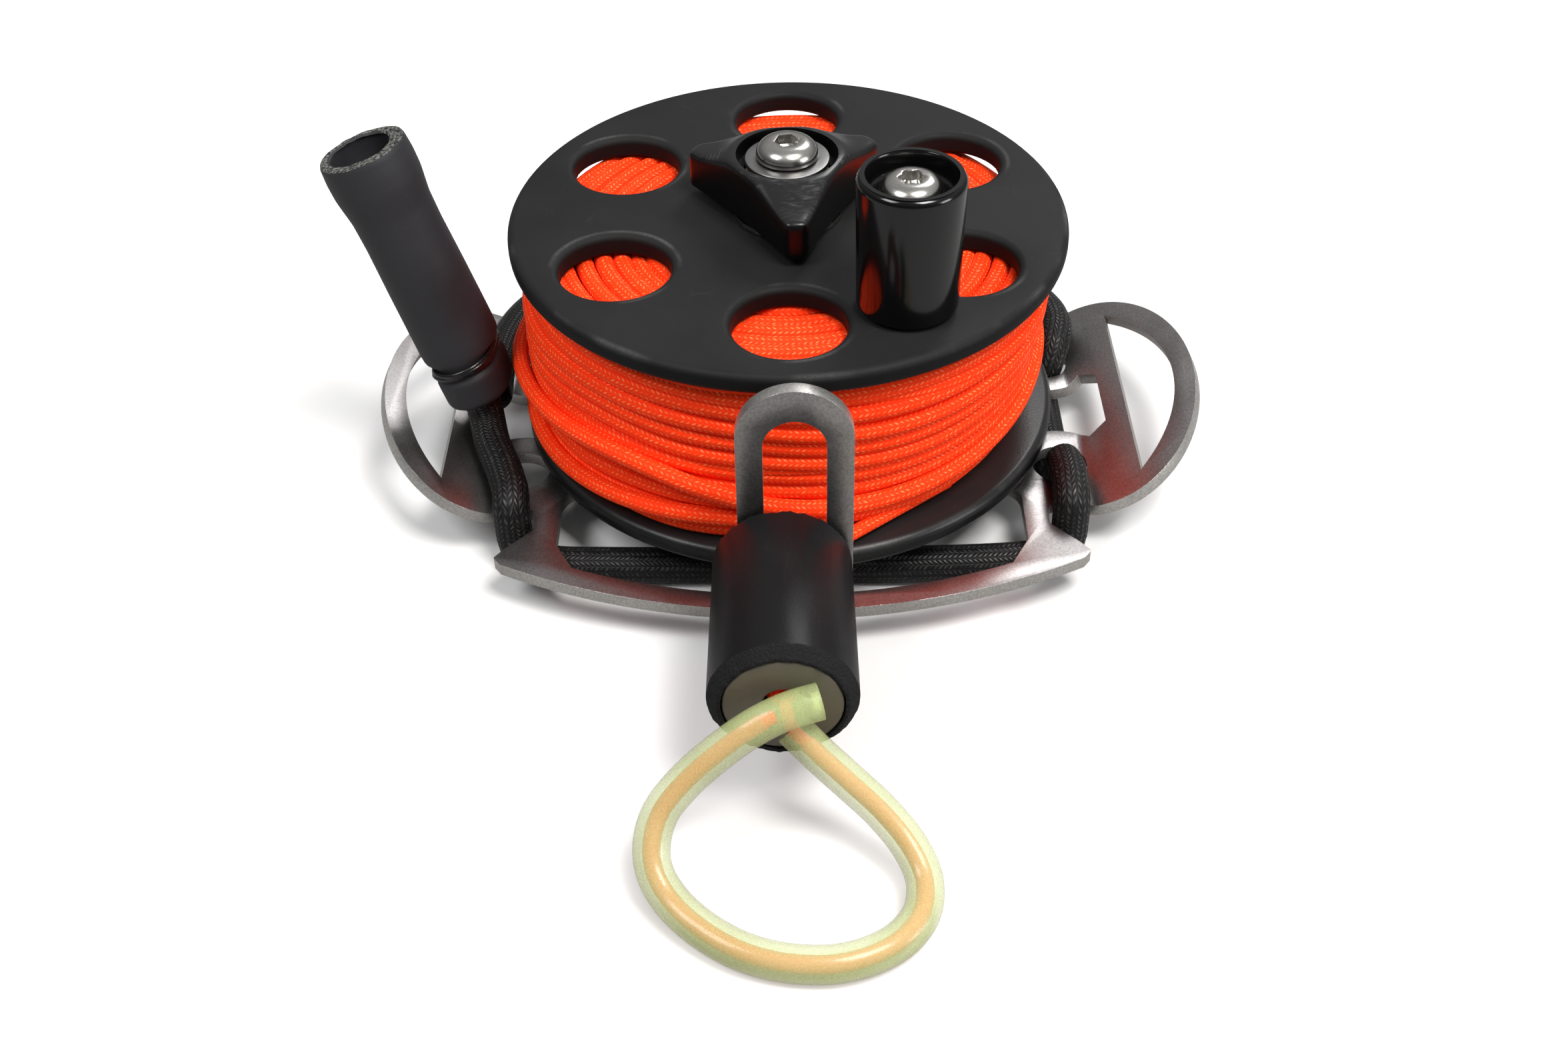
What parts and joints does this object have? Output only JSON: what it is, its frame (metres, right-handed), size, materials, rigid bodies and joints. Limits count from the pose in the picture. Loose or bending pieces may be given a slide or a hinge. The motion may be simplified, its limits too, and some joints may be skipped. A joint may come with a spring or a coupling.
{
  "type": "freediving reel",
  "caption": "Line reel with a bent steel belt plate, free-turning spool with drag knob and winding handle, laced bungee, bumper and luminous loop",
  "frame": {"origin": "On the spool's axis, on the flat underside of the base screw's head, where the reel lies on a surface", "axes": "+Z is the spool's axis, up through the drag knob; +X runs along the belt wings; -Y points to the line guide and the bumper"},
  "size_m": [0.1609, 0.1916, 0.0798],
  "materials": {
    "plate_steel": "fine speckled brushed sheet with bright worn edges",
    "stainless": "bright turned stainless",
    "slip_plastic": "plain white bearing plastic",
    "bungee": "black braided sheath with pale flecks",
    "sleeve_rubber": "matte dark rubber tube with rough cut end",
    "tie": "black tie, slightly shiny",
    "bumper_rubber": "satin black rubber with rough cut end",
    "core_plastic": "grey-green, slightly translucent",
    "line": "vivid orange braid with bright flecks",
    "luminous_tube": "pale yellow-green translucent tube",
    "flange_plastic": "matte black with light scuffs",
    "gloss_plastic": "polished black",
    "brass": "turned brass"
  },
  "bodies": {
    "frame": {"frame_plate": "plate_steel", "base_screw": "stainless", "base_washer": "stainless", "axle_post": "stainless", "friction_washer": "slip_plastic", "axle_screw": "stainless", "axle_washer": "stainless", "bungee_cord": "bungee", "pull_sleeve": "sleeve_rubber", "sleeve_tie": "tie", "bumper_sleeve": "bumper_rubber", "bumper_core": "core_plastic", "line_lead": "line", "line_knot": "line", "line_loop": "line", "loop_tube": "luminous_tube"},
    "spool": {"lower_flange": "flange_plastic", "upper_flange": "flange_plastic", "spool_hub": "flange_plastic", "lower_bush": "slip_plastic", "upper_bush": "slip_plastic", "line_core": "line", "line_winding": "line", "handle_insert": "brass", "handle_sleeve": "stainless", "handle_screw": "stainless"},
    "grip": {"handle_grip": "gloss_plastic"},
    "drag_washer": {"pressure_washer": "stainless"},
    "drag_nut": {"drag_knob": "gloss_plastic", "knob_insert": "brass"}
  },
  "joints": [
    {"name": "spool_spin", "type": "hinge", "parent": "frame", "child": "spool", "pos_m": [0, 0, 0.0119], "axis": [0, 0, 1], "continuous": true},
    {"name": "grip_spin", "type": "hinge", "parent": "spool", "child": "grip", "pos_m": [0.02, -0.0307, 0.055], "axis": [0, 0, 1], "continuous": true},
    {"name": "drag_slide", "type": "slide", "parent": "frame", "child": "drag_washer", "axis": [0, 0, 1], "range_m": [-0.00025, 0.0005]},
    {"name": "drag_turn", "type": "hinge", "parent": "drag_washer", "child": "drag_nut", "pos_m": [0, 0, 0.056], "axis": [0, 0, 1], "range_deg": [-60, 120]}
  ],
  "couplings": [
    {"joint": "drag_turn", "follows": "drag_slide", "rad_per_m": 4188.8}
  ]
}
